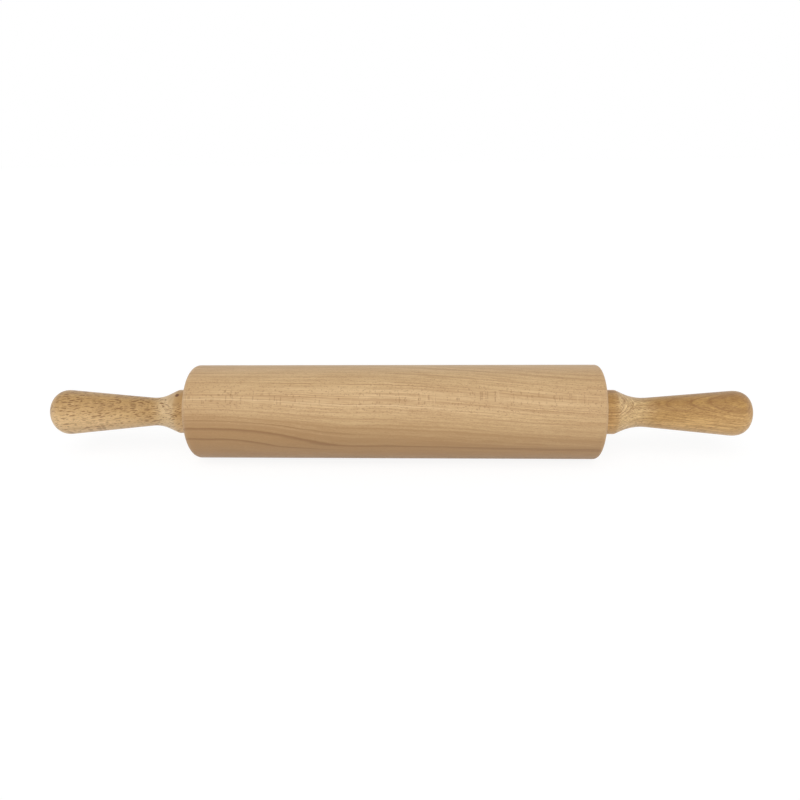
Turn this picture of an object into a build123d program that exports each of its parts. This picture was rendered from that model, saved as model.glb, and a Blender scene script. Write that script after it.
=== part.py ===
from build123d import *
import os

# Rolling pin: a beech barrel that turns on a steel rod between two turned wooden handles.
# Sizes are in mm. The origin is the middle of the barrel, X runs along the pin and Z is up.
# On each side a place is counted outwards from the barrel's end face, so inside the barrel it is negative.

# Barrel
barrel_length = 250.0
barrel_radius = 29.0
left_rim_round = 4.4
right_rim_round = 3.0
core_radius = 8.0
mouth_chamfer = 0.5

# Handles, whose two turnings differ a little
handle_length = 91.6
running_gap = 0.7
shoulder_edge_round = 0.8
shoulder_radius = 13.6
shoulder_length = 9.9
shoulder_round = 2.4
neck_place = 21.5
neck_root_radius = 8.3
left_neck_round = 21.0
left_grip_place = 79.0
left_grip_radius = 13.85
left_dome_swell_share = 0.8
left_dome_tip_share = 0.32
right_neck_round = 29.0
right_grip_place = 79.5
right_grip_radius = 13.6
right_dome_swell_share = 1.0
right_dome_tip_share = 0.3

# Axle rod, glued into both handles
rod_radius = 4.0
rod_grip_length = 55.0
rod_tip_chamfer = 0.8
glue_film = 0.05
glue_room = 2.0
glue_groove_count = 4
glue_groove_pitch = 10.0
glue_groove_width = 1.6
glue_groove_depth = 0.3

# Ball bearing of the common 8 x 22 x 7 size, with its clearances
bearing_radius = 11.0
bearing_width = 7.0
bearing_recess = 0.5
seat_clearance = 0.01
bore_clearance = 0.02
ring_chamfer = 0.3
pitch_radius = 7.5
ball_count = 7
ball_radius = 1.9844
race_clearance = 0.05
inner_ring_radius = 6.05
outer_land_radius = 8.95

# Cage, pressed from sheet in two halves
cage_inner_radius = 6.4
cage_outer_radius = 8.6
cage_sheet = 0.35
pocket_clearance = 0.08
rivet_radius = 0.35
rivet_head_radius = 0.6
rivet_head_height = 0.2
rivet_clearance = 0.02

# Shields, seated in steps of the outer ring
shield_seat_radius = 9.6
shield_seat_depth = 0.8
shield_sheet = 0.25
shield_rim_height = 0.6
shield_clearance = 0.02
shield_bore_clearance = 0.3

# Retaining clip in its groove of the rod, and the spacer washer
clip_thickness = 0.8
clip_groove_radius = 3.8
clip_groove_play = 0.1
clip_clearance = 0.02
clip_outer_radius = 5.3
clip_offset = 0.3
clip_gap = 2.2
clip_lug_radius = 1.3
clip_lug_place = 5.6
clip_lug_spread = 4.2
clip_hole_radius = 0.6
spacer_bore_clearance = 0.1
spacer_edge_round = 0.2

# How far a cut runs past the face that it opens
overrun = 1.0

# What follows from the driving sizes
barrel_end = barrel_length / 2
bearing_place = -bearing_recess - bearing_width / 2
race_radius = ball_radius + race_clearance
pocket_radius = ball_radius + pocket_clearance
shield_seat_place = bearing_width / 2 - shield_seat_depth
clip_place = -bearing_recess - bearing_width
rod_end_place = running_gap + rod_grip_length
half_pitch_angle = 180 / ball_count
sides = {"left": -1, "right": 1}
facings = {"inboard": -1, "outboard": 1}

turnings = {
    "left": {
        "neck_round": left_neck_round,
        "grip_place": left_grip_place,
        "grip_radius": left_grip_radius,
        "dome_swell_share": left_dome_swell_share,
        "dome_tip_share": left_dome_tip_share,
    },
    "right": {
        "neck_round": right_neck_round,
        "grip_place": right_grip_place,
        "grip_radius": right_grip_radius,
        "dome_swell_share": right_dome_swell_share,
        "dome_tip_share": right_dome_tip_share,
    },
}


def turning_plane(side, place=0):
    """The plane of a turned outline: its x runs outwards from a place on one side, its y is the radius."""
    return Plane(origin=(side * (barrel_end + place), 0, 0), x_dir=(side, 0, 0), z_dir=(0, -side, 0))


def cross_plane(side, place, facing=1):
    """The plane square to the pin at a place on one side. Facing 1 looks outwards, -1 towards the barrel."""
    return Plane(origin=(side * (barrel_end + place), 0, 0), x_dir=(0, 1, 0), z_dir=(side * facing, 0, 0))


def save(piece, node):
    """Names a finished piece after its node and writes its file."""
    piece.part.label = node
    export_step(piece.part, f"parts/{node}.step")


def turn_barrel():
    """The roller: a cylinder with rounded rims, a core hole right through and a bearing seat in each end."""
    with BuildPart() as barrel:
        with BuildSketch(Plane.YZ):
            Circle(barrel_radius)
        extrude(amount=barrel_end, both=True)
        rims = barrel.edges().filter_by(GeomType.CIRCLE).sort_by(Axis.X)
        fillet(rims[0], radius=left_rim_round)
        fillet(rims[-1], radius=right_rim_round)
        with Locations(Plane.YZ.offset(barrel_end)):
            Hole(radius=core_radius, depth=barrel_length)
        for side in sides.values():
            with Locations(cross_plane(side, 0)):
                Hole(radius=bearing_radius + seat_clearance, depth=bearing_recess + bearing_width)
            ends = barrel.faces().filter_by(GeomType.PLANE).sort_by(Axis.X)
            end_face = ends[-1] if side > 0 else ends[0]
            mouth = end_face.edges().filter_by(GeomType.CIRCLE).sort_by(SortBy.RADIUS)[0]
            chamfer(mouth, length=mouth_chamfer)
    return barrel


def turn_handle(side, turning):
    """A handle: shoulder, flare, neck and swelling grip, a dome at the tip and a blind bore for the rod."""
    grip_place, grip_radius = turning["grip_place"], turning["grip_radius"]
    swell = (grip_radius - neck_root_radius) / (grip_place - neck_place)
    dome_lead = turning["dome_swell_share"] * (handle_length - grip_place)
    crown = (grip_place + dome_lead, grip_radius + swell * dome_lead)
    tip_lead = (handle_length, turning["dome_tip_share"] * grip_radius)
    with BuildPart() as handle:
        with BuildSketch(turning_plane(side)):
            with BuildLine():
                FilletPolyline(
                    (running_gap, 0),
                    (running_gap, shoulder_radius),
                    (shoulder_length, shoulder_radius),
                    (neck_place, neck_root_radius),
                    (grip_place, grip_radius),
                    radius=[shoulder_edge_round, shoulder_round, turning["neck_round"]],
                )
                Bezier((grip_place, grip_radius), crown, tip_lead, (handle_length, 0))
                Line((handle_length, 0), (running_gap, 0))
            make_face()
        revolve(axis=Axis.X)
        with Locations(cross_plane(side, running_gap, -1)):
            Hole(radius=rod_radius + glue_film, depth=rod_grip_length + glue_room)
    return handle


def turn_axle_rod():
    """The rod: chamfered tips, a groove for each clip, and shallow grooves that key the glue in the handles."""
    with BuildPart() as axle_rod:
        with BuildSketch(Plane.YZ):
            Circle(rod_radius)
        extrude(amount=barrel_end + rod_end_place, both=True)
        chamfer(axle_rod.edges().filter_by(GeomType.CIRCLE), length=rod_tip_chamfer)
        for side in sides.values():
            with BuildSketch(turning_plane(side)):
                groove_width = clip_thickness + clip_groove_play
                with Locations((clip_place - groove_width / 2, clip_groove_radius + overrun / 2)):
                    Rectangle(groove_width, overrun)
                for groove in range(glue_groove_count):
                    place = rod_end_place - (groove + 1) * glue_groove_pitch
                    with Locations((place, rod_radius - glue_groove_depth + overrun / 2)):
                        Rectangle(glue_groove_width, overrun)
            revolve(axis=Axis.X, mode=Mode.SUBTRACT)
    return axle_rod


def turn_outer_ring(side):
    """The bearing's outer ring: a race groove inside, and a step at each face for a shield."""
    with BuildPart() as outer_ring:
        with BuildSketch(turning_plane(side, bearing_place)) as section:
            with Locations((0, (outer_land_radius + bearing_radius) / 2)):
                Rectangle(bearing_width, bearing_radius - outer_land_radius)
            chamfer(section.vertices().group_by(Axis.Y)[-1], length=ring_chamfer)
            with Locations((0, pitch_radius)):
                Circle(race_radius, mode=Mode.SUBTRACT)
            for facing in facings.values():
                step_middle = facing * (bearing_width / 2 + shield_seat_place) / 2
                with Locations((step_middle, (shield_seat_radius + outer_land_radius) / 2)):
                    Rectangle(shield_seat_depth, shield_seat_radius - outer_land_radius, mode=Mode.SUBTRACT)
        revolve(axis=Axis.X)
    return outer_ring


def turn_inner_ring(side):
    """The bearing's inner ring, a push fit on the rod, with a race groove outside."""
    bore_radius = rod_radius + bore_clearance
    with BuildPart() as inner_ring:
        with BuildSketch(turning_plane(side, bearing_place)) as section:
            with Locations((0, (bore_radius + inner_ring_radius) / 2)):
                Rectangle(bearing_width, inner_ring_radius - bore_radius)
            chamfer(section.vertices().group_by(Axis.Y)[0], length=ring_chamfer)
            with Locations((0, pitch_radius)):
                Circle(race_radius, mode=Mode.SUBTRACT)
        revolve(axis=Axis.X)
    return inner_ring


def place_balls(side):
    """The balls, evenly round the pitch circle."""
    with BuildPart(cross_plane(side, bearing_place)) as balls:
        with PolarLocations(pitch_radius, ball_count):
            Sphere(ball_radius)
    return balls


def press_cage_half(side, facing):
    """Half of the cage: a flat ring with a round pocket pressed out over each ball, and holes for the rivets."""
    middle = cross_plane(side, bearing_place, facing)
    with BuildPart(middle) as cage_half:
        with BuildSketch(middle):
            Circle(cage_outer_radius)
        extrude(amount=cage_sheet)
        with PolarLocations(pitch_radius, ball_count):
            Sphere(pocket_radius + cage_sheet)
        with BuildSketch(middle):
            Circle(cage_outer_radius)
            Circle(cage_inner_radius, mode=Mode.SUBTRACT)
        extrude(amount=pocket_radius + cage_sheet, mode=Mode.INTERSECT)
        with PolarLocations(pitch_radius, ball_count):
            Sphere(pocket_radius, mode=Mode.SUBTRACT)
        with BuildSketch(middle):
            with PolarLocations(pitch_radius, ball_count, start_angle=half_pitch_angle):
                Circle(rivet_radius + rivet_clearance)
        extrude(amount=cage_sheet, mode=Mode.SUBTRACT)
    return cage_half


def set_cage_rivets(side):
    """The rivets between the balls that hold the two cage halves together, with a flat head at each end."""
    middle = cross_plane(side, bearing_place)
    with BuildPart() as cage_rivets:
        with BuildSketch(middle):
            with PolarLocations(pitch_radius, ball_count, start_angle=half_pitch_angle):
                Circle(rivet_radius)
        extrude(amount=cage_sheet, both=True)
        for facing in facings.values():
            with BuildSketch(middle.offset(facing * cage_sheet)):
                with PolarLocations(pitch_radius, ball_count, start_angle=half_pitch_angle):
                    Circle(rivet_head_radius)
            extrude(amount=facing * rivet_head_height)
    return cage_rivets


def press_shield(side, facing):
    """A pressed dust shield: a flat ring whose rim is turned outwards to grip the outer ring's step."""
    rim_radius = shield_seat_radius - shield_clearance
    hole_radius = inner_ring_radius + shield_bore_clearance
    with BuildPart() as shield:
        with BuildSketch(turning_plane(side, bearing_place)):
            plate_middle = facing * (shield_seat_place + shield_sheet / 2)
            with Locations((plate_middle, (rim_radius + hole_radius) / 2)):
                Rectangle(shield_sheet, rim_radius - hole_radius)
            rim_middle = facing * (shield_seat_place + shield_rim_height / 2)
            with Locations((rim_middle, rim_radius - shield_sheet / 2)):
                Rectangle(shield_rim_height, shield_sheet)
        revolve(axis=Axis.X)
    return shield


def stamp_clip(side):
    """The retaining clip: an open spring ring, widest opposite its gap, with a plier hole in each lug."""
    with BuildPart() as clip:
        with BuildSketch(cross_plane(side, clip_place, -1)):
            with Locations((-clip_offset, 0)):
                Circle(clip_outer_radius)
            for edge in (-1, 1):
                with Locations((clip_lug_place, edge * clip_lug_spread / 2)):
                    Circle(clip_lug_radius)
            Circle(clip_groove_radius + clip_clearance, mode=Mode.SUBTRACT)
            with Locations((clip_lug_place, 0)):
                Rectangle(clip_lug_place, clip_gap, mode=Mode.SUBTRACT)
            for edge in (-1, 1):
                with Locations((clip_lug_place, edge * clip_lug_spread / 2)):
                    Circle(clip_hole_radius, mode=Mode.SUBTRACT)
        extrude(amount=clip_thickness)
    return clip


def stamp_spacer(side):
    """The washer that holds the handle's shoulder clear of the barrel, standing on the inner ring's face."""
    with BuildPart() as spacer:
        with BuildSketch(cross_plane(side, -bearing_recess)):
            Circle(inner_ring_radius)
            Circle(rod_radius + spacer_bore_clearance, mode=Mode.SUBTRACT)
        extrude(amount=bearing_recess + running_gap)
        rims = spacer.edges().filter_by(GeomType.CIRCLE).group_by(SortBy.RADIUS)[-1]
        fillet(rims, radius=spacer_edge_round)
    return spacer


os.makedirs("parts", exist_ok=True)
save(turn_barrel(), "barrel")
save(turn_axle_rod(), "axle_rod")
for hand, side in sides.items():
    save(turn_handle(side, turnings[hand]), f"handle_{hand}")
    save(turn_outer_ring(side), f"bearing_outer_ring_{hand}")
    save(turn_inner_ring(side), f"bearing_inner_ring_{hand}")
    save(place_balls(side), f"bearing_balls_{hand}")
    save(set_cage_rivets(side), f"cage_rivets_{hand}")
    for face, facing in facings.items():
        save(press_cage_half(side, facing), f"cage_half_{face}_{hand}")
        save(press_shield(side, facing), f"shield_{face}_{hand}")
    save(stamp_clip(side), f"retaining_clip_{hand}")
    save(stamp_spacer(side), f"spacer_washer_{hand}")
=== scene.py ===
import math

import bpy
import numpy as np
from mathutils import Matrix, Vector


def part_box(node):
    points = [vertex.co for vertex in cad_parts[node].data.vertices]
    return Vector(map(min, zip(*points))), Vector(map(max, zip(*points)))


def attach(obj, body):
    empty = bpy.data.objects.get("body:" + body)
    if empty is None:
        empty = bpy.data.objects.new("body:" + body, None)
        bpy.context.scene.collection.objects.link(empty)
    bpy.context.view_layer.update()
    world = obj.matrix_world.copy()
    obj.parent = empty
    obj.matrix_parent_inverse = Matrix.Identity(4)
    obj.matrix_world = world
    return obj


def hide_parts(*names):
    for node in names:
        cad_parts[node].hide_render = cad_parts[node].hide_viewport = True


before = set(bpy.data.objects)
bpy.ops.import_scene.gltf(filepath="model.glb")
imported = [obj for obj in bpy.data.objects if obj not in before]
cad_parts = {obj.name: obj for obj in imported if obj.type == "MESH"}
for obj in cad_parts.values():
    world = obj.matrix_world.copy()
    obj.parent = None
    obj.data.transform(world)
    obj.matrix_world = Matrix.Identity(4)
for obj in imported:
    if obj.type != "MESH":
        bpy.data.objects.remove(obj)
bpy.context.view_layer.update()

# Roller. The real one is a length of pale steamed beech, turned and sanded to a true cylinder with both
# rims eased over, then left bare. A core hole runs through it for the rod, with a bearing seat in each end.
mm = 0.001
roller_low, roller_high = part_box("barrel")
roller_radius = min(roller_high[1], roller_high[2])
left_rim_round = 4.4 * mm
right_rim_round = 3.0 * mm
core_radius = 8.0 * mm
seat_radius = 11.01 * mm
seat_depth = 7.5 * mm
mouth_chamfer = 0.5 * mm
mouth_round = 0.2 * mm
seat_corner_round = 0.1 * mm


def rounded_path(corners, rounds, step):
    """Points of straight runs through the corners, each inner corner replaced by an arc of its round.
    An arc of radius r at a corner that turns by t begins r tan(t / 2) before it. No run is longer than
    the step."""
    corners = np.asarray(corners, float)
    pieces = [corners[:1]]
    widest_arc_step = math.radians(7)
    for before, corner, after, radius in zip(corners, corners[1:], corners[2:], rounds):
        run_in = (corner - before) / np.linalg.norm(corner - before)
        run_out = (after - corner) / np.linalg.norm(after - corner)
        turn = math.atan2(run_in[0] * run_out[1] - run_in[1] * run_out[0], run_in @ run_out)
        start = corner - run_in * radius * math.tan(abs(turn) / 2)
        centre = start + np.array([-run_in[1], run_in[0]]) * radius * np.sign(turn)
        angle = np.linspace(0, turn, max(3, math.ceil(abs(turn) / widest_arc_step) + 1))[:, None]
        arm = start - centre
        pieces.append(centre + np.cos(angle) * arm + np.sin(angle) * np.array([-arm[1], arm[0]]))
    pieces.append(corners[-1:])
    path = np.concatenate(pieces)
    same_place = 1e-9
    runs = [
        np.linspace(a, b, max(1, math.ceil(np.linalg.norm(b - a) / step)), endpoint=False)
        for a, b in zip(path, path[1:])
        if np.linalg.norm(b - a) > same_place
    ]
    return np.concatenate(runs + [path[-1:]])


def turned(name, outline, facets, closed):
    """A surface of revolution about X: outline point (x, r) at angle a goes to (x, r cos a, r sin a).
    A closed outline makes a tube; an open one starts and ends on the axis and gets a pole at each end."""
    x, r = outline[:, 0], outline[:, 1]
    angle = np.arange(facets) * 2 * np.pi / facets
    rings = np.arange(len(x)) if closed else np.arange(1, len(x) - 1)
    grid = np.stack(
        [
            np.repeat(x[rings, None], facets, 1),
            np.outer(r[rings], np.cos(angle)),
            np.outer(r[rings], np.sin(angle)),
        ],
        -1,
    )
    count = len(rings)
    row = np.arange(count if closed else count - 1)[:, None]
    column = np.arange(facets)[None, :]
    nearer, further = row * facets, (row + 1) % count * facets
    beside = (column + 1) % facets
    quads = np.stack([nearer + column, further + column, further + beside, nearer + beside], -1)
    points, faces = grid.reshape(-1, 3), quads.reshape(-1, 4).tolist()
    if not closed:
        first, last = count * facets, count * facets + 1
        points = np.concatenate([points, [[x[0], 0, 0], [x[-1], 0, 0]]])
        end = (count - 1) * facets
        around = np.arange(facets)
        faces += np.stack([np.full(facets, first), around, (around + 1) % facets], -1).tolist()
        faces += np.stack([end + around, np.full(facets, last), end + (around + 1) % facets], -1).tolist()
    mesh = bpy.data.meshes.new(name)
    mesh.from_pydata(points.tolist(), [], faces)
    mesh.update()
    mesh.shade_smooth()
    piece = bpy.data.objects.new(name, mesh)
    bpy.context.scene.collection.objects.link(piece)
    return piece


x0, x1 = roller_low[0], roller_high[0]
roller_outline = rounded_path(
    [
        (0, core_radius),
        (x0 + seat_depth, core_radius),
        (x0 + seat_depth, seat_radius),
        (x0 + mouth_chamfer, seat_radius),
        (x0, seat_radius + mouth_chamfer),
        (x0, roller_radius),
        (x1, roller_radius),
        (x1, seat_radius + mouth_chamfer),
        (x1 - mouth_chamfer, seat_radius),
        (x1 - seat_depth, seat_radius),
        (x1 - seat_depth, core_radius),
        (0, core_radius),
    ],
    [
        seat_corner_round,
        seat_corner_round,
        mouth_round,
        mouth_round,
        left_rim_round,
        right_rim_round,
        mouth_round,
        mouth_round,
        seat_corner_round,
        seat_corner_round,
    ],
    step=4 * mm,
)[:-1]
roller = turned("roller_barrel", roller_outline[::-1], facets=256, closed=True)
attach(roller, "roller")
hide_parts("barrel")


def paint(red, green, blue):
    """A colour given as 0 to 255 on the screen, as the linear colour that a shader takes."""
    share = np.array([red, green, blue]) / 255
    linear = np.where(share <= 0.04045, share / 12.92, ((share + 0.055) / 1.055) ** 2.4)
    return (*linear.tolist(), 1.0)


def new_group(name, inputs, outputs):
    """An empty shader node group. Inputs are (name, kind, value), outputs (name, kind)."""
    group = bpy.data.node_groups.new(name, "ShaderNodeTree")
    kinds = {"number": "NodeSocketFloat", "colour": "NodeSocketColor", "vector": "NodeSocketVector"}
    for label, kind, value in inputs:
        socket = group.interface.new_socket(label, in_out="INPUT", socket_type=kinds[kind])
        if value is not None:
            socket.default_value = value
    for label, kind in outputs:
        group.interface.new_socket(label, in_out="OUTPUT", socket_type=kinds[kind])
    return group, group.nodes.new("NodeGroupInput").outputs, group.nodes.new("NodeGroupOutput").inputs


def put(tree, kind, settings=None, **inputs):
    """A node of a kind, with its settings and its inputs, each a plain value or another node's socket."""
    node = tree.nodes.new("ShaderNode" + kind)
    for name, value in (settings or {}).items():
        setattr(node, name, value)
    for name, value in inputs.items():
        join(tree, value, node.inputs[name.replace("_", " ")])
    return node


def join(tree, value, socket):
    """Links a socket to an input, or writes a plain value on it."""
    if isinstance(value, bpy.types.NodeSocket):
        tree.links.new(value, socket)
    else:
        socket.default_value = value


def calc(tree, operation, *terms):
    """One Math node: the operation on its terms, which are sockets or plain numbers."""
    node = tree.nodes.new("ShaderNodeMath")
    node.operation = operation
    for term, socket in zip(terms, node.inputs):
        join(tree, term, socket)
    return node.outputs[0]


def ease(tree, value, low, high, start=0.0, end=1.0):
    """A smooth step of a value: start below low, end above high."""
    node = tree.nodes.new("ShaderNodeMapRange")
    node.interpolation_type = "SMOOTHSTEP"
    for term, socket in zip((value, low, high, start, end), node.inputs):
        join(tree, term, socket)
    return node.outputs[0]


def blend_colour(tree, share, base, other):
    """A Mix node for colours: the base where the share is 0, the other where it is 1."""
    node = tree.nodes.new("ShaderNodeMix")
    node.data_type = "RGBA"
    join(tree, share, node.inputs[0])
    join(tree, base, node.inputs[6])
    join(tree, other, node.inputs[7])
    return node.outputs[2]


def point(tree, x, y, z):
    """A vector from three sockets or numbers."""
    node = tree.nodes.new("ShaderNodeCombineXYZ")
    for term, socket in zip((x, y, z), node.inputs):
        join(tree, term, socket)
    return node.outputs[0]


def parts(tree, vector):
    """The three numbers of a vector."""
    node = tree.nodes.new("ShaderNodeSeparateXYZ")
    join(tree, vector, node.inputs[0])
    return node.outputs


def noise(tree, vector, detail=2.0, roughness=0.5, kind="3D"):
    """A Noise Texture; its outputs are the value and the colour."""
    settings = {"noise_dimensions": kind}
    node = put(tree, "TexNoise", settings, Scale=1.0, Detail=detail, Roughness=roughness)
    join(tree, vector, node.inputs["W" if kind == "1D" else "Vector"])
    return node.outputs


def diagonal(tree, a, b):
    """The square root of a squared plus b squared."""
    squares = calc(tree, "ADD", calc(tree, "POWER", a, 2), calc(tree, "POWER", b, 2))
    return calc(tree, "SQRT", squares)


# Grain of a tree, in mm: Along is up the trunk, Layer is the depth across the growth layers, counted
# outwards, and Around is the way round the trunk. The heart lies Heart Distance below the piece's middle.
grain_group, taken, given = new_group(
    "grain of the trunk",
    [
        ("Point", "vector", None),
        ("Heart Distance", "number", 120.0),
        ("Wander", "number", 3.0),
        ("Ripple", "number", 0.5),
        ("Seed", "number", 0.0),
        ("Slant", "number", 0.0),
        ("Bend", "number", 0.0),
        ("Knot", "vector", (0.0, 0.0, 0.0)),
        ("Knot Radius", "number", 0.0),
    ],
    [
        ("Along", "number"),
        ("Around", "number"),
        ("Layer", "number"),
        ("Knot", "number"),
        ("Knot Zone", "number"),
    ],
)
tree = grain_group
along, across, depth = parts(tree, taken["Point"])
seeded = [calc(tree, "ADD", term, taken["Seed"]) for term in (along, across, depth)]


def stretched(tree, x, y, z, length, breadth, thickness):
    """A place divided by how far the pattern reaches along, around and across the layers."""
    pairs = ((x, length), (y, breadth), (z, thickness))
    return point(tree, *(calc(tree, "DIVIDE", place, size) for place, size in pairs))


slow_place = stretched(tree, *seeded, length=110, breadth=38, thickness=38)
quick_place = stretched(tree, *seeded, length=17, breadth=6, thickness=6)
wander = parts(tree, noise(tree, slow_place, detail=1)[1])
ripple = parts(tree, noise(tree, quick_place, detail=3, roughness=0.62)[1])
slanted = calc(tree, "MULTIPLY_ADD", along, taken["Slant"], across)
moved = []
for place, slow, quick in ((slanted, wander[1], ripple[1]), (depth, wander[2], ripple[2])):
    slow_shift = calc(tree, "MULTIPLY", calc(tree, "SUBTRACT", slow, 0.5), taken["Wander"])
    quick_shift = calc(tree, "MULTIPLY", calc(tree, "SUBTRACT", quick, 0.5), taken["Ripple"])
    moved.append(calc(tree, "ADD", place, calc(tree, "ADD", slow_shift, quick_shift)))
from_heart = calc(tree, "ADD", moved[1], taken["Heart Distance"])
layer = calc(tree, "SUBTRACT", diagonal(tree, moved[0], from_heart), taken["Heart Distance"])
# fibres flow round a pin knot as water flows round a post, and leave plain wood close to it
knot_along, knot_across, knot_depth = parts(tree, taken["Knot"])
knot_across = calc(tree, "MULTIPLY_ADD", knot_along, taken["Slant"], knot_across)
knot_from_heart = calc(tree, "ADD", knot_depth, taken["Heart Distance"])
knot_angle = calc(tree, "ARCTAN2", knot_across, knot_from_heart)
knot_around = calc(tree, "MULTIPLY", knot_angle, taken["Heart Distance"])
angle = calc(tree, "ARCTAN2", moved[0], from_heart)
around = calc(tree, "MULTIPLY", angle, taken["Heart Distance"])
past_knot = calc(tree, "SUBTRACT", along, knot_along)
beside_knot = calc(tree, "SUBTRACT", around, knot_around)
knot_radii_reached = 5.0
above_zero = 0.01
knot_reach = calc(tree, "MULTIPLY", taken["Knot Radius"], knot_radii_reached)
knot_reach = calc(tree, "MAXIMUM", knot_reach, above_zero)
squared = calc(tree, "ADD", calc(tree, "POWER", past_knot, 2), calc(tree, "POWER", beside_knot, 2))
nearness = calc(tree, "POWER", knot_reach, 2)
nearness = calc(tree, "DIVIDE", nearness, calc(tree, "MAXIMUM", squared, above_zero))
most_pushed_aside = 0.97
kept_share = calc(tree, "SUBTRACT", 1.0, calc(tree, "MINIMUM", nearness, most_pushed_aside))
squeeze = calc(tree, "MULTIPLY", beside_knot, kept_share)
to_knot = calc(tree, "DIVIDE", calc(tree, "SQRT", squared), knot_reach)
join(tree, along, given["Along"])
join(tree, calc(tree, "ADD", knot_around, squeeze), given["Around"])
join(tree, calc(tree, "ADD", layer, taken["Bend"]), given["Layer"])
join(tree, ease(tree, to_knot, 0.12, 0.24, start=1.0, end=0.0), given["Knot"])
join(tree, ease(tree, to_knot, 0.75, 1.25, start=1.0, end=0.0), given["Knot Zone"])

# Growth layers: each year's wood darkens slowly outwards and ends at a thin dark line. Years differ in
# width and in strength. Fibres adds the fine streaks of the fibre bundles, which follow the layers.
layers_group, taken, given = new_group(
    "growth layers",
    [
        ("Along", "number", 0.0),
        ("Around", "number", 0.0),
        ("Layer", "number", 0.0),
        ("Year Width", "number", 3.0),
        ("Seed", "number", 0.0),
    ],
    [("Line", "number"), ("Fibres", "number"), ("Zone", "number")],
)
tree = layers_group
where = (taken["Along"], taken["Around"], taken["Layer"])
years = calc(tree, "ADD", calc(tree, "DIVIDE", taken["Layer"], taken["Year Width"]), taken["Seed"])
unevenness_per_year = 0.37
most_years_moved = 3.2
uneven = noise(tree, calc(tree, "MULTIPLY", years, unevenness_per_year), detail=1, kind="1D")[0]
years = calc(tree, "MULTIPLY_ADD", calc(tree, "SUBTRACT", uneven, 0.5), most_years_moved, years)
part_of_year = calc(tree, "FRACT", years)
year = put(tree, "TexWhiteNoise", {"noise_dimensions": "1D"}, W=calc(tree, "FLOOR", years)).outputs[0]
late_wood = ease(tree, part_of_year, 0.35, 0.92)
before_spring = ease(tree, part_of_year, 0.93, 1.0, start=1.0, end=0.0)
late = calc(tree, "MULTIPLY", late_wood, before_spring)
weakest_year = 0.2
strength = calc(tree, "MULTIPLY_ADD", calc(tree, "POWER", year, 1.6), 1 - weakest_year, weakest_year)
broken_place = stretched(tree, *where, length=26, breadth=9, thickness=9)
broken = ease(tree, noise(tree, broken_place)[0], 0.3, 0.62, start=0.45, end=1.0)
join(tree, calc(tree, "MULTIPLY", calc(tree, "MULTIPLY", late, strength), broken), given["Line"])
bundle_place = stretched(tree, *where, length=46, breadth=4.5, thickness=0.85)
thread_place = stretched(tree, *where, length=30, breadth=1.8, thickness=0.34)
short_place = stretched(tree, *where, length=4.5, breadth=0.6, thickness=0.26)
zone_place = stretched(tree, *where, length=150, breadth=60, thickness=14)
bundles = noise(tree, bundle_place, detail=2)[0]
threads = noise(tree, thread_place, detail=2, roughness=0.6)[0]
short_threads = noise(tree, short_place, detail=1)[0]
fibres = 0.0
for pattern, share in ((bundles, 0.36), (threads, 0.36), (short_threads, 0.28)):
    fibres = calc(tree, "MULTIPLY_ADD", pattern, share, fibres)
join(tree, ease(tree, fibres, 0.36, 0.64), given["Fibres"])
join(tree, noise(tree, zone_place, detail=1)[0], given["Zone"])

# Bold year: one line that stands out among the growth layers. The wood takes its colour slowly on the side
# of the heart and loses it at once past the line.
bold_group, taken, given = new_group(
    "bold year",
    [("Layer", "number", 0.0), ("At", "number", 0.0), ("Breadth", "number", 1.5)],
    [("Line", "number")],
)
tree = bold_group
past = calc(tree, "DIVIDE", calc(tree, "SUBTRACT", taken["Layer"], taken["At"]), taken["Breadth"])
rise = calc(tree, "POWER", ease(tree, past, -1.0, 0.0), 2.0)
fall = ease(tree, past, 0.0, 0.22, start=1.0, end=0.0)
join(tree, calc(tree, "MULTIPLY", rise, fall), given["Line"])

# Rays: the thin ribbons of beech that run out from the heart. A face cut along the layers shows them end
# on as short spindles; a face cut towards the heart shows them flat, as ticks across the grain. Each cell
# of the pattern holds one ray, with a length, a thickness and a lean of its own.
rays_group, taken, given = new_group(
    "rays",
    [
        ("Along", "number", 0.0),
        ("Around", "number", 0.0),
        ("Layer", "number", 0.0),
        ("Length", "number", 4.5),
        ("Spacing", "number", 1.3),
        ("Thickness", "number", 0.4),
        ("Run", "number", 16.0),
    ],
    [("Ray", "number"), ("Pale Ray", "number")],
)
tree = rays_group
cell_place = stretched(tree, taken["Along"], taken["Around"], 0.0, taken["Length"], taken["Spacing"], 1.0)
cells = put(tree, "TexVoronoi", {"feature": "F1", "voronoi_dimensions": "2D"}, Vector=cell_place, Scale=1.0)
chance = parts(tree, cells.outputs["Color"])
centre = parts(tree, cells.outputs["Position"])
past_centre = calc(tree, "SUBTRACT", taken["Along"], calc(tree, "MULTIPLY", centre[0], taken["Length"]))
off_centre = calc(tree, "SUBTRACT", taken["Around"], calc(tree, "MULTIPLY", centre[1], taken["Spacing"]))
most_lean = 0.1
lean = calc(tree, "MULTIPLY_ADD", chance[1], 2 * most_lean, -most_lean)
line_centre = calc(tree, "MULTIPLY", past_centre, lean)
off_line = calc(tree, "ABSOLUTE", calc(tree, "SUBTRACT", off_centre, line_centre))
shortest_half = 0.14
half_length_spread = 0.36
half_length = calc(tree, "MULTIPLY_ADD", chance[0], half_length_spread, shortest_half)
half_length = calc(tree, "MULTIPLY", taken["Length"], half_length)
towards_tip = calc(tree, "DIVIDE", past_centre, half_length)
taper = calc(tree, "SUBTRACT", 1.0, calc(tree, "POWER", towards_tip, 2))
thinnest_half = 0.25
half_thick_spread = 0.5
half_thick = calc(tree, "MULTIPLY_ADD", chance[2], half_thick_spread, thinnest_half)
half_thick = calc(tree, "MULTIPLY", taken["Thickness"], half_thick)
least_taper = 0.02
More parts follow.
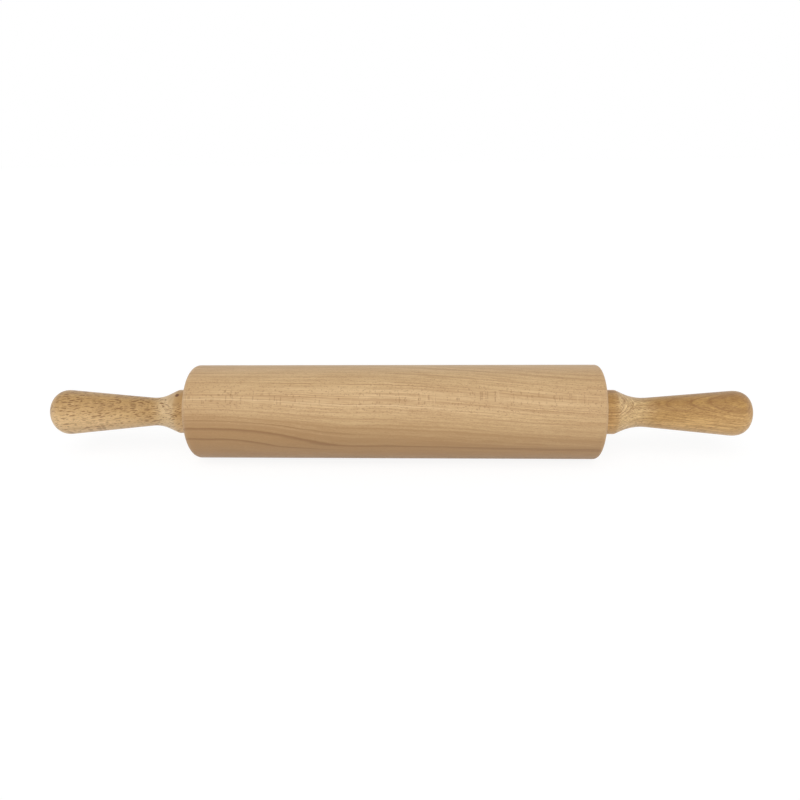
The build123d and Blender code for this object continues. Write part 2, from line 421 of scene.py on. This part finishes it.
breadth = calc(tree, "MULTIPLY", half_thick, calc(tree, "MAXIMUM", taper, least_taper))
inside = ease(tree, calc(tree, "DIVIDE", off_line, breadth), 0.6, 1.4, start=1.0, end=0.0)
rows_apart = 90
out_along_ray = calc(tree, "DIVIDE", taken["Layer"], taken["Run"])
run_place = point(tree, out_along_ray, calc(tree, "MULTIPLY", chance[2], rows_apart), 0.0)
present = ease(tree, noise(tree, run_place, detail=1, kind="2D")[0], 0.28, 0.38)
shown = calc(tree, "MULTIPLY", inside, present)
pale_below = 0.2
dark_above = 0.24
join(tree, calc(tree, "MULTIPLY", shown, ease(tree, chance[1], pale_below, dark_above)), given["Ray"])
join(tree, calc(tree, "MULTIPLY", shown, ease(tree, chance[1], dark_above, pale_below)), given["Pale Ray"])

# Turned wood puts these together: ground colour with paler zones, a lower-side colour of painted light and
# shade that is partly the wood's own tone, fibres, year lines, flecks, rays, pores, end grain wherever the
# surface runs across the trunk, and the knot.
wood_group, taken, given = new_group(
    "turned wood",
    [
        ("Point", "vector", None),
        ("Normal", "vector", None),
        ("Seed", "number", 0.0),
        ("Ground", "colour", paint(209, 177, 134)),
        ("Pale", "colour", paint(220, 190, 148)),
        ("Deep", "colour", paint(176, 140, 100)),
        ("Line Colour", "colour", paint(160, 124, 84)),
        ("Ray Colour", "colour", paint(150, 112, 72)),
        ("End Colour", "colour", paint(176, 142, 100)),
        ("Knot Colour", "colour", paint(100, 58, 26)),
        ("Heart Distance", "number", 120.0),
        ("Wander", "number", 3.0),
        ("Ripple", "number", 0.5),
        ("Slant", "number", 0.0),
        ("Bend", "number", 0.0),
        ("Knot", "vector", (0.0, 0.0, 0.0)),
        ("Knot Radius", "number", 0.0),
        ("Year Width", "number", 3.0),
        ("Line Strength", "number", 0.5),
        ("Fibre Strength", "number", 0.5),
        ("Pale Strength", "number", 1.0),
        ("Deep From", "number", -40.0),
        ("Deep To", "number", -60.0),
        ("Deep Round", "number", 0.0),
        ("Ray Length", "number", 6.0),
        ("Ray Spacing", "number", 0.9),
        ("Ray Thickness", "number", 0.4),
        ("Ray Run", "number", 16.0),
        ("Ray Strength", "number", 0.5),
        ("Fleck Length", "number", 1.7),
        ("Fleck Spacing", "number", 0.6),
        ("Fleck Thickness", "number", 0.14),
        ("Fleck Strength", "number", 0.3),
        ("Pore Strength", "number", 0.3),
    ],
    [
        ("Colour", "colour"),
        ("Roughness", "number"),
        ("Relief", "number"),
        ("Along", "number"),
        ("Layer", "number"),
    ],
)
tree = wood_group


def place_group(tree, group, **inputs):
    """A group node with its inputs, each a plain value or another node's socket."""
    node = tree.nodes.new("ShaderNodeGroup")
    node.node_tree = group
    for name, value in inputs.items():
        join(tree, value, node.inputs[name.replace("_", " ")])
    return node.outputs


passed_on = ("Point", "Heart Distance", "Wander", "Ripple", "Seed", "Slant", "Bend", "Knot", "Knot Radius")
grain = place_group(tree, grain_group, **{name: taken[name] for name in passed_on})
where = {name: grain[name] for name in ("Along", "Around", "Layer")}
layers = place_group(tree, layers_group, Year_Width=taken["Year Width"], Seed=taken["Seed"], **where)
# flecks are the many small rays between the broad ones
rays, flecks = (
    place_group(
        tree,
        rays_group,
        Length=taken[kind + " Length"],
        Spacing=taken[kind + " Spacing"],
        Thickness=taken[kind + " Thickness"],
        Run=taken["Ray Run"],
        **where,
    )
    for kind in ("Ray", "Fleck")
)
pale = ease(tree, layers["Zone"], 0.35, 0.65, start=0.0, end=taken["Pale Strength"])
colour = blend_colour(tree, pale, taken["Ground"], taken["Pale"])
# the lower-side colour sets in across the layers, or round the trunk where its Round share is 1: on the
# roller painted shade partly in the wood's own browner tone, on the handles painted light reflected from
# the worktop
slanted = calc(tree, "MULTIPLY", grain["Along"], taken["Slant"])
plain_round = calc(tree, "SUBTRACT", grain["Around"], slanted)
past_layer = calc(tree, "SUBTRACT", plain_round, grain["Layer"])
tone_and_shading_place = calc(tree, "MULTIPLY_ADD", past_layer, taken["Deep Round"], grain["Layer"])
tone_and_shading = ease(tree, tone_and_shading_place, taken["Deep From"], taken["Deep To"])
colour = blend_colour(tree, tone_and_shading, colour, taken["Deep"])
fibre = calc(tree, "SUBTRACT", 1.0, layers["Fibres"])
for mask, strength in ((fibre, "Fibre Strength"), (layers["Line"], "Line Strength")):
    share = calc(tree, "MULTIPLY", mask, taken[strength])
    colour = blend_colour(tree, share, colour, taken["Line Colour"])
# the rays stand out less under the lower-side colour of painted light and shade, and not at all close to a
# knot
lost_in_tone_and_shading = 0.45
kept = calc(tree, "MULTIPLY_ADD", tone_and_shading, -lost_in_tone_and_shading, 1.0)
kept = calc(tree, "MULTIPLY", calc(tree, "SUBTRACT", 1.0, grain["Knot Zone"]), kept)
pale_rays = calc(tree, "MAXIMUM", flecks["Pale Ray"], rays["Pale Ray"])
for mask, strength, tone in (
    (flecks["Ray"], "Fleck Strength", "Ray Colour"),
    (pale_rays, "Fleck Strength", "Pale"),
    (rays["Ray"], "Ray Strength", "Ray Colour"),
):
    ray = calc(tree, "MULTIPLY", calc(tree, "MULTIPLY", mask, kept), taken[strength])
    colour = blend_colour(tree, ray, colour, taken[tone])
pore_place = stretched(tree, *where.values(), length=1.7, breadth=0.22, thickness=0.22)
pores = ease(tree, noise(tree, pore_place, detail=1)[0], 0.62, 0.78)
pore = calc(tree, "MULTIPLY", pores, taken["Pore Strength"])
colour = blend_colour(tree, pore, colour, taken["Ray Colour"])
cross_cut = ease(tree, calc(tree, "ABSOLUTE", parts(tree, taken["Normal"])[0]), 0.45, 0.95)
for mask, strength, tone in (
    (cross_cut, 0.55, "End Colour"),
    (grain["Knot Zone"], 0.3, "Line Colour"),
    (grain["Knot"], 0.95, "Knot Colour"),
):
    colour = blend_colour(tree, calc(tree, "MULTIPLY", mask, strength), colour, taken[tone])
join(tree, colour, given["Colour"])
join(tree, grain["Along"], given["Along"])
join(tree, grain["Layer"], given["Layer"])
fibre_roughness = 0.07
end_roughness = 0.12
ray_roughness = 0.05
rough = calc(tree, "MULTIPLY_ADD", fibre, fibre_roughness, calc(tree, "MULTIPLY", cross_cut, end_roughness))
join(tree, calc(tree, "MULTIPLY_ADD", ray, ray_roughness, rough), given["Roughness"])
fibre_height = 0.015
pore_depth = 0.02
ray_depth = 0.015
relief = calc(tree, "MULTIPLY", layers["Fibres"], fibre_height)
relief = calc(tree, "MULTIPLY_ADD", pores, -pore_depth, relief)
join(tree, calc(tree, "MULTIPLY_ADD", rays["Ray"], -ray_depth, relief), given["Relief"])


camera_height = 25.0  # degrees above the horizon


def faced(angle):
    """The unit vector that points that many degrees above the way to the camera, round the pin."""
    bearing = math.radians(camera_height + angle)
    return Vector((0, -math.cos(bearing), math.sin(bearing)))


def wood_material(
    name, outwards, polish, knot=None, bend=None, marked_years=(), light_and_shade_stretch=None, **values
):
    """A wood finish. Outwards is the way from the tree's heart to the piece, square to the pin's axis. Bend
    gives the socket that shifts the layers. A marked year is (layer, breadth, strength, colour, starts at,
    full from). A light and shade stretch is (starts at, full from, full to, ends at, strength, colour),
    counted in mm from the pin's middle: painted light and shade laid over the wood's colours there."""
    material = bpy.data.materials.new(name)
    material.use_nodes = True
    tree = material.node_tree
    tree.nodes.clear()
    place = put(tree, "TexCoord").outputs
    turn = math.atan2(outwards[1], outwards[2])
    trunk = put(tree, "Mapping", {"vector_type": "POINT"}, Vector=place["Object"])
    trunk.inputs["Rotation"].default_value = (turn, 0, 0)
    trunk.inputs["Scale"].default_value = (1 / mm,) * 3
    if knot is not None:
        values["Knot"] = Matrix.Rotation(turn, 3, "X") @ (knot / mm)
    if bend is not None:
        values["Bend"] = bend(tree, trunk.outputs[0], values["Heart_Distance"])
    # painted light and shade laid over the ground, pale and lower-side colours along a stretch of the pin
    if light_and_shade_stretch is not None:
        start, full_from, full_to, end, strength, tone = light_and_shade_stretch
        from_middle = calc(tree, "ABSOLUTE", parts(tree, trunk.outputs[0])[0])
        rise = ease(tree, from_middle, start, full_from)
        fall = ease(tree, from_middle, full_to, end, start=strength, end=0.0)
        share = calc(tree, "MULTIPLY", rise, fall)
        for ground in ("Ground", "Pale", "Deep"):
            values[ground] = blend_colour(tree, share, values[ground], tone)
    wood = place_group(tree, wood_group, Point=trunk.outputs[0], Normal=place["Normal"], **values)
    colour = wood["Colour"]
    for layer, breadth, strength, tone, start, full_from in marked_years:
        line = place_group(tree, bold_group, Layer=wood["Layer"], At=layer, Breadth=breadth)["Line"]
        rise = ease(tree, wood["Along"], start, full_from, start=0.0, end=strength)
        share = calc(tree, "MULTIPLY", line, rise)
        colour = blend_colour(tree, share, colour, tone)
    bump = put(tree, "Bump", Strength=1.0, Distance=mm, Height=wood["Relief"])
    shader = put(tree, "BsdfPrincipled", Base_Color=colour, Normal=bump.outputs[0])
    join(tree, calc(tree, "ADD", wood["Roughness"], polish), shader.inputs["Roughness"])
    shader.inputs["Specular IOR Level"].default_value = 0.35
    shader.inputs["Sheen Weight"].default_value = 0.18
    tree.links.new(shader.outputs[0], put(tree, "OutputMaterial").inputs["Surface"])
    return material


def roller_bend(tree, place, heart_distance):
    """How far this trunk's layers leave straight lines: they sag from the left end to the middle, the more
    the deeper they lie, and lean over again towards the right end."""
    along, across, depth = parts(tree, place)
    from_heart = calc(tree, "ADD", depth, heart_distance)
    layer = calc(tree, "SUBTRACT", diagonal(tree, across, from_heart), heart_distance)
    sag_per_layer = -0.19
    sag_at_layer_0 = 2.66
    sag = calc(tree, "MULTIPLY_ADD", layer, sag_per_layer, sag_at_layer_0)
    sag = calc(tree, "MAXIMUM", sag, 0.0)
    sag = calc(tree, "MULTIPLY", sag, ease(tree, layer, -29, -26.8, start=0.3, end=1.0))
    sag = calc(tree, "MULTIPLY", sag, ease(tree, along, -105, -20))
    lean_per_layer = 0.21
    lean_at_layer_0 = 10.2
    lean = calc(tree, "MULTIPLY_ADD", layer, lean_per_layer, lean_at_layer_0)
    return calc(tree, "MULTIPLY_ADD", lean, ease(tree, along, -15, 150), sag)


dark_line = paint(146, 108, 70)
soft_line = paint(168, 131, 89)
pale_line = paint(226, 198, 156)
beech = wood_material(
    "bare beech",
    outwards=faced(115),
    polish=0.56,
    bend=roller_bend,
    marked_years=(
        (-3.1, 0.7, 0.6, pale_line, 60, -10),
        (-6.4, 1.2, 0.35, soft_line, -40, 40),
        (21.3, 0.9, 0.55, soft_line, 70, 95),
        (-9.2, 0.7, 0.6, soft_line, 30, -30),
        (-13.0, 1.0, 0.6, soft_line, -200, -190),
        (-15.2, 0.9, 0.6, dark_line, 10, -50),
        (-16.8, 1.7, 0.65, soft_line, -200, -190),
        (-19.3, 2.2, 0.85, dark_line, -200, -190),
        (-20.9, 1.2, 0.8, dark_line, 20, 70),
        (-24.0, 1.6, 0.8, dark_line, -20, -60),
    ),
    # darker towards both ends of the roller: painted shade
    light_and_shade_stretch=(90, 123, 150, 160, 0.18, paint(176, 134, 90)),
    Seed=3.0,
    Ground=paint(208, 176, 130),
    Pale=paint(213, 181, 137),
    # the lower side darker, across the layers: partly the wood's own browner zone, partly painted shade
    Deep=paint(173, 137, 93),
    Line_Colour=paint(168, 130, 87),
    Ray_Colour=paint(134, 96, 57),
    End_Colour=paint(186, 151, 107),
    Heart_Distance=140.0,
    Wander=2.0,
    Ripple=1.0,
    Year_Width=1.9,
    Line_Strength=0.85,
    Fibre_Strength=0.62,
    Pale_Strength=0.6,
    # the layers where the painted shade on the lower side sets in
    Deep_From=-4.0,
    Deep_To=-22.0,
    Ray_Length=2.0,
    Ray_Spacing=0.75,
    Ray_Thickness=0.12,
    Ray_Run=14.0,
    Ray_Strength=0.36,
    Fleck_Length=1.2,
    Fleck_Spacing=0.45,
    Fleck_Thickness=0.1,
    Fleck_Strength=0.36,
    Pore_Strength=0.2,
)
roller.data.materials.append(beech)

# Bearings, rod, clips and washers. All bought in metal: drawn steel for the rod, ground steel for the rings
# and balls, pressed sheet for cages and shields, blackened spring steel for clips, stamped brass washers.
marks_group, taken, given = new_group(
    "tool marks",
    [
        ("Point", "vector", None),
        ("Colour", "colour", paint(190, 190, 192)),
        ("Tarnish", "colour", paint(150, 148, 146)),
        ("Round Marks", "number", 1.0),
        ("Long Marks", "number", 0.0),
        ("Mark Width", "number", 0.06),
        ("Tarnish Share", "number", 0.3),
    ],
    [("Colour", "colour"), ("Roughness", "number"), ("Relief", "number")],
)
tree = marks_group
along, across, depth = parts(tree, taken["Point"])
angle = calc(tree, "ARCTAN2", across, depth)
width = taken["Mark Width"]
marks_per_radian = 1.5
turned_place = point(
    tree,
    calc(tree, "DIVIDE", along, width),
    calc(tree, "DIVIDE", diagonal(tree, across, depth), width),
    calc(tree, "MULTIPLY", angle, marks_per_radian),
)
drawn_place = stretched(tree, along, across, depth, length=9, breadth=width, thickness=width)
turned_marks = calc(tree, "MULTIPLY", noise(tree, turned_place, detail=3)[0], taken["Round Marks"])
drawn_marks = calc(tree, "MULTIPLY", noise(tree, drawn_place, detail=3)[0], taken["Long Marks"])
marks = calc(tree, "ADD", turned_marks, drawn_marks)
blotch_place = stretched(tree, along, across, depth, length=3, breadth=3, thickness=3)
blotch = noise(tree, blotch_place, detail=4, roughness=0.6)[0]
stain = calc(tree, "MULTIPLY", ease(tree, blotch, 0.42, 0.68), taken["Tarnish Share"])
join(tree, blend_colour(tree, stain, taken["Colour"], taken["Tarnish"]), given["Colour"])
mark_roughness = 0.25
stain_roughness = 0.4
mark_height = 0.004
wear = calc(tree, "MULTIPLY", stain, stain_roughness)
wear = calc(tree, "MULTIPLY_ADD", calc(tree, "SUBTRACT", marks, 0.5), mark_roughness, wear)
join(tree, wear, given["Roughness"])
join(tree, calc(tree, "MULTIPLY", marks, mark_height), given["Relief"])


def metal_material(name, gloss, **values):
    """A metal finish. Gloss is the roughness where nothing marks the surface."""
    material = bpy.data.materials.new(name)
    material.use_nodes = True
    tree = material.node_tree
    tree.nodes.clear()
    place = put(tree, "Mapping", {"vector_type": "POINT"}, Vector=put(tree, "TexCoord").outputs["Object"])
    place.inputs["Scale"].default_value = (1 / mm,) * 3
    metal = place_group(tree, marks_group, Point=place.outputs[0], **values)
    bump = put(tree, "Bump", Strength=1.0, Distance=mm, Height=metal["Relief"])
    shader = put(tree, "BsdfPrincipled", Base_Color=metal["Colour"], Normal=bump.outputs[0])
    shader.inputs["Metallic"].default_value = 1.0
    join(tree, calc(tree, "ADD", metal["Roughness"], gloss), shader.inputs["Roughness"])
    tree.links.new(shader.outputs[0], put(tree, "OutputMaterial").inputs["Surface"])
    return material


drawn_steel = metal_material("drawn steel", gloss=0.3, Round_Marks=0.2, Long_Marks=0.8, Mark_Width=0.12)
ground_steel = metal_material(
    "ground steel",
    gloss=0.14,
    Colour=paint(206, 206, 210),
    Mark_Width=0.03,
    Tarnish_Share=0.12,
)
pressed_steel = metal_material(
    "pressed steel",
    gloss=0.34,
    Colour=paint(184, 184, 187),
    Mark_Width=0.2,
    Tarnish_Share=0.4,
)
black_steel = metal_material(
    "blackened steel",
    gloss=0.42,
    Colour=paint(46, 46, 50),
    Tarnish=paint(74, 68, 62),
    Mark_Width=0.1,
    Tarnish_Share=0.5,
)
brass = metal_material(
    "stamped brass",
    gloss=0.26,
    Colour=paint(214, 178, 104),
    Tarnish=paint(160, 124, 72),
    Mark_Width=0.08,
    Tarnish_Share=0.5,
)
metal_of = {
    "axle_rod": drawn_steel,
    "bearing": ground_steel,
    "cage_half": pressed_steel,
    "cage_rivets": ground_steel,
    "shield": pressed_steel,
    "retaining_clip": black_steel,
    "spacer_washer": brass,
}
for node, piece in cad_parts.items():
    for family, metal in metal_of.items():
        if node.startswith(family):
            piece.data.materials.clear()
            piece.data.materials.append(metal)

# Handles. Two blanks of darker beech, turned by hand to one pattern: a shoulder, a flare down to the neck,
# a grip that swells towards the tip and a domed end. A blind hole takes the glued end of the rod.
handle_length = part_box("handle_right")[1][0] - roller_high[0]
running_gap = 0.7 * mm
shoulder_edge_round = 0.8 * mm
shoulder_radius = 13.6 * mm
shoulder_length = 9.9 * mm
shoulder_round = 2.4 * mm
neck_place = 21.5 * mm
neck_root_radius = 8.3 * mm
bore_radius = 4.05 * mm
bore_depth = 57.0 * mm
bore_corner_round = 0.1 * mm


def handle_outline(neck_round, grip_place, grip_radius, swell_share, tip_share):
    """From the bore's bottom, out of its mouth, over the shoulder, flare and grip, to the tip. The dome is
    a cubic curve that leaves along the grip's swell and meets the axis square."""
    mouth_to_grip = rounded_path(
        [
            (running_gap + bore_depth, 0),
            (running_gap + bore_depth, bore_radius),
            (running_gap, bore_radius),
            (running_gap, shoulder_radius),
            (shoulder_length, shoulder_radius),
            (neck_place, neck_root_radius),
            (grip_place, grip_radius),
        ],
        [bore_corner_round, bore_corner_round, shoulder_edge_round, shoulder_round, neck_round],
        step=1.2 * mm,
    )
    lead = swell_share * (handle_length - grip_place)
    swell = (grip_radius - neck_root_radius) / (grip_place - neck_place)
    start = np.array([grip_place, grip_radius])
    crown = start + lead * np.array([1, swell])
    end = np.array([handle_length, 0])
    tip_lead = np.array([handle_length, tip_share * grip_radius])
    dome_points = 40
    t = np.linspace(0, 1, dome_points)[1:, None]
    dome = (1 - t) ** 3 * start + 3 * t * (1 - t) ** 2 * crown + 3 * t**2 * (1 - t) * tip_lead + t**3 * end
    return np.concatenate([mouth_to_grip, dome])


def turned_handle(name, side, outline, droop):
    """The outline, counted outwards from the roller's end face, turned on its side of the pin. Past the
    shoulder the blank was chucked a little out of true, so its middle line drops by the droop, in degrees.
    Its bore stays on the pin's axis."""
    outline = outline.copy()
    outline[:, 0] = side * (roller_high[0] + outline[:, 0])
    if side > 0:
        outline = outline[::-1]
    handle = turned(name, outline, facets=160, closed=False)
    points = np.empty(len(handle.data.vertices) * 3)
    handle.data.vertices.foreach_get("co", points)
    points = points.reshape(-1, 3)
    beyond = np.maximum(abs(points[:, 0]) - roller_high[0] - shoulder_length, 0)
    just_outside_bore = bore_radius * 1.01
    outside = np.hypot(points[:, 1], points[:, 2]) > just_outside_bore
    points -= np.outer(beyond * outside * math.tan(math.radians(droop)), faced(90))
    handle.data.vertices.foreach_set("co", points.ravel())
    handle.data.update()
    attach(handle, "handles_and_axle")
    return handle


left_outline = handle_outline(21.0 * mm, 79.0 * mm, 13.85 * mm, swell_share=0.8, tip_share=0.32)
right_outline = handle_outline(29.0 * mm, 79.5 * mm, 13.6 * mm, swell_share=1.0, tip_share=0.3)
handle_left = turned_handle("turned_handle_left", -1, left_outline, droop=0.37)
handle_right = turned_handle("turned_handle_right", 1, right_outline, droop=0.53)
for handle, node, slot in (
    (handle_left, "handle_left", "handle_wood_left"),
    (handle_right, "handle_right", "handle_wood_right"),
):
    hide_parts(node)

knot_from_roller = 8.7 * mm
knot_from_axis = 13.3 * mm
knot_place = Vector((roller_low[0] - knot_from_roller, 0, 0)) + knot_from_axis * faced(47)
tan_beech = wood_material(
    "tan beech",
    outwards=faced(10),
    polish=0.44,
    knot=knot_place,
    # the flare paler: painted light
    light_and_shade_stretch=(131, 138, 142, 152, 0.75, paint(216, 188, 144)),
    Knot_Radius=1.25,
    Seed=11.0,
    Ground=paint(188, 150, 94),
    Pale=paint(198, 162, 108),
    # the lower half paler, round the trunk: painted light reflected from the worktop
    Deep=paint(227, 192, 142),
    Line_Colour=paint(158, 120, 70),
    Ray_Colour=paint(116, 76, 34),
    End_Colour=paint(186, 150, 98),
    Heart_Distance=120.0,
    Wander=2.4,
    Ripple=0.8,
    Slant=-0.1,
    Year_Width=2.0,
    Line_Strength=0.4,
    Fibre_Strength=0.35,
    Pale_Strength=0.8,
    # where the painted light on the lower half sets in, round the trunk
    Deep_From=-1.0,
    Deep_To=-10.5,
    Deep_Round=1.0,
    Ray_Length=4.6,
    Ray_Spacing=0.95,
    Ray_Thickness=0.44,
    Ray_Run=22.0,
    Ray_Strength=0.9,
    Fleck_Length=2.4,
    Fleck_Spacing=0.7,
    Fleck_Thickness=0.23,
    Fleck_Strength=0.72,
    Pore_Strength=0.3,
)
handle_left.data.materials.append(tan_beech)
golden_beech = wood_material(
    "golden beech",
    outwards=faced(30),
    polish=0.42,
    marked_years=tuple((layer, 0.3, 0.5, paint(128, 84, 38), -10, 0) for layer in (8.8, 10.0, 11.1, 12.0)),
    # the flare paler: painted light
    light_and_shade_stretch=(131, 138, 145, 162, 0.8, paint(230, 200, 148)),
    Seed=23.0,
    Ground=paint(184, 143, 78),
    Pale=paint(193, 153, 90),
    # the lower half paler, round the trunk: painted light reflected from the worktop
    Deep=paint(230, 188, 124),
    Line_Colour=paint(138, 94, 46),
    Ray_Colour=paint(126, 84, 38),
    End_Colour=paint(190, 150, 92),
    Heart_Distance=50.0,
    Wander=1.2,
    Ripple=0.9,
    Year_Width=0.8,
    Line_Strength=0.4,
    Fibre_Strength=0.65,
    # where the painted light on the lower half sets in, round the trunk
    Deep_From=-4.0,
    Deep_To=-11.0,
    Deep_Round=1.0,
    Ray_Length=3.4,
    Ray_Spacing=0.8,
    Ray_Thickness=0.22,
    Ray_Run=14.0,
    Ray_Strength=0.65,
    Fleck_Strength=0.6,
    Pore_Strength=0.3,
)
handle_right.data.materials.append(golden_beech)

# Worktop, light and camera: a white worktop and room, a broad soft light from the front and above, a weaker
# one low in front and one from each side. The camera looks down a little on the pin, from close by, and the
# pin's right end is a little nearer to it.
floor_half = 3.0
floor_height = roller_low[2]
floor_mesh = bpy.data.meshes.new("worktop")
corners = [(x * floor_half, y * floor_half, floor_height) for x, y in ((-1, -1), (1, -1), (1, 1), (-1, 1))]
floor_mesh.from_pydata(corners, [], [(0, 1, 2, 3)])
floor = bpy.data.objects.new("worktop", floor_mesh)
bpy.context.scene.collection.objects.link(floor)


def seen_directly(tree):
    """1 for rays that show a background: straight from the camera, or off gloss or through glass."""
    path = put(tree, "LightPath").outputs
    straight = calc(tree, "MAXIMUM", path["Is Camera Ray"], path["Is Glossy Ray"])
    return calc(tree, "MAXIMUM", straight, path["Is Transmission Ray"])


white_top = bpy.data.materials.new("white worktop")
white_top.use_nodes = True
tree = white_top.node_tree
tree.nodes.clear()
seen = seen_directly(tree)
lit_white = paint(234, 234, 234)
seen_grey = paint(112, 112, 112)
seen_glow = 0.875
matt = put(tree, "BsdfDiffuse", Color=blend_colour(tree, seen, lit_white, seen_grey))
glow = put(tree, "Emission", Strength=calc(tree, "MULTIPLY", seen, seen_glow))
both = put(tree, "AddShader")
tree.links.new(matt.outputs[0], both.inputs[0])
tree.links.new(glow.outputs[0], both.inputs[1])
tree.links.new(both.outputs[0], put(tree, "OutputMaterial").inputs["Surface"])
floor_mesh.materials.append(white_top)

world = bpy.data.worlds.new("white room")
bpy.context.scene.world = world
world.use_nodes = True
tree = world.node_tree
tree.nodes.clear()
room_level = 0.44
level = calc(tree, "MULTIPLY_ADD", seen_directly(tree), 1.0 - room_level, room_level)
background = put(tree, "Background", Strength=level)
background.inputs["Color"].default_value = (1, 1, 1, 1)
tree.links.new(background.outputs[0], put(tree, "OutputWorld").inputs["Surface"])


def sun(name, strength, height, azimuth, softness):
    """A far soft light. Azimuth 0 shines from the camera's side; the height above the horizon, the azimuth
    and the softness are in degrees."""
    lamp = bpy.data.lights.new(name, "SUN")
    lamp.energy = strength
    lamp.angle = math.radians(softness)
    up, side = math.radians(height), math.radians(azimuth)
    towards = Vector((math.sin(side) * math.cos(up), -math.cos(side) * math.cos(up), math.sin(up)))
    holder = bpy.data.objects.new(name, lamp)
    holder.rotation_mode = "QUATERNION"
    holder.rotation_quaternion = towards.to_track_quat("Z", "Y")
    bpy.context.scene.collection.objects.link(holder)


sun("softbox", strength=1.12, height=52, azimuth=-8, softness=50)
sun("low_fill", strength=0.8, height=5, azimuth=10, softness=60)
for side, name in ((-1, "left_side_light"), (1, "right_side_light")):
    sun(name, strength=0.6, height=15, azimuth=side * 80, softness=40)

# where the photograph was taken from, worked out from the pin's outline in it
focal_pixels = 683.9
frame_pixels = 800.0
axis_below_middle_pixels = 36.0
camera_distance = 426 * mm
right_end_nearer = math.radians(2.3)
camera_roll = math.radians(0.16)
pin_right_of_axis = -3.55 * mm
pin_above_axis = 15.12 * mm
height = math.radians(camera_height)
ahead = Vector((0, math.cos(height), -math.sin(height)))
up = Vector((0, math.sin(height), math.cos(height)))
right = Vector((1, 0, 0))
ahead, right = (
    ahead * math.cos(right_end_nearer) - right * math.sin(right_end_nearer),
    right * math.cos(right_end_nearer) + ahead * math.sin(right_end_nearer),
)
right, up = (
    right * math.cos(camera_roll) + up * math.sin(camera_roll),
    up * math.cos(camera_roll) - right * math.sin(camera_roll),
)
lens = bpy.data.cameras.new("camera")
lens.sensor_width = 36.0
lens.lens = lens.sensor_width * focal_pixels / frame_pixels
lens.shift_y = axis_below_middle_pixels / frame_pixels
lens.clip_start = 0.01
camera = bpy.data.objects.new("camera", lens)
camera.matrix_world = Matrix((right, up, -ahead)).transposed().to_4x4()
camera.location = -(pin_right_of_axis * right + pin_above_axis * up + camera_distance * ahead)
bpy.context.scene.collection.objects.link(camera)
bpy.context.scene.camera = camera
bpy.context.scene.view_settings.view_transform = "Standard"
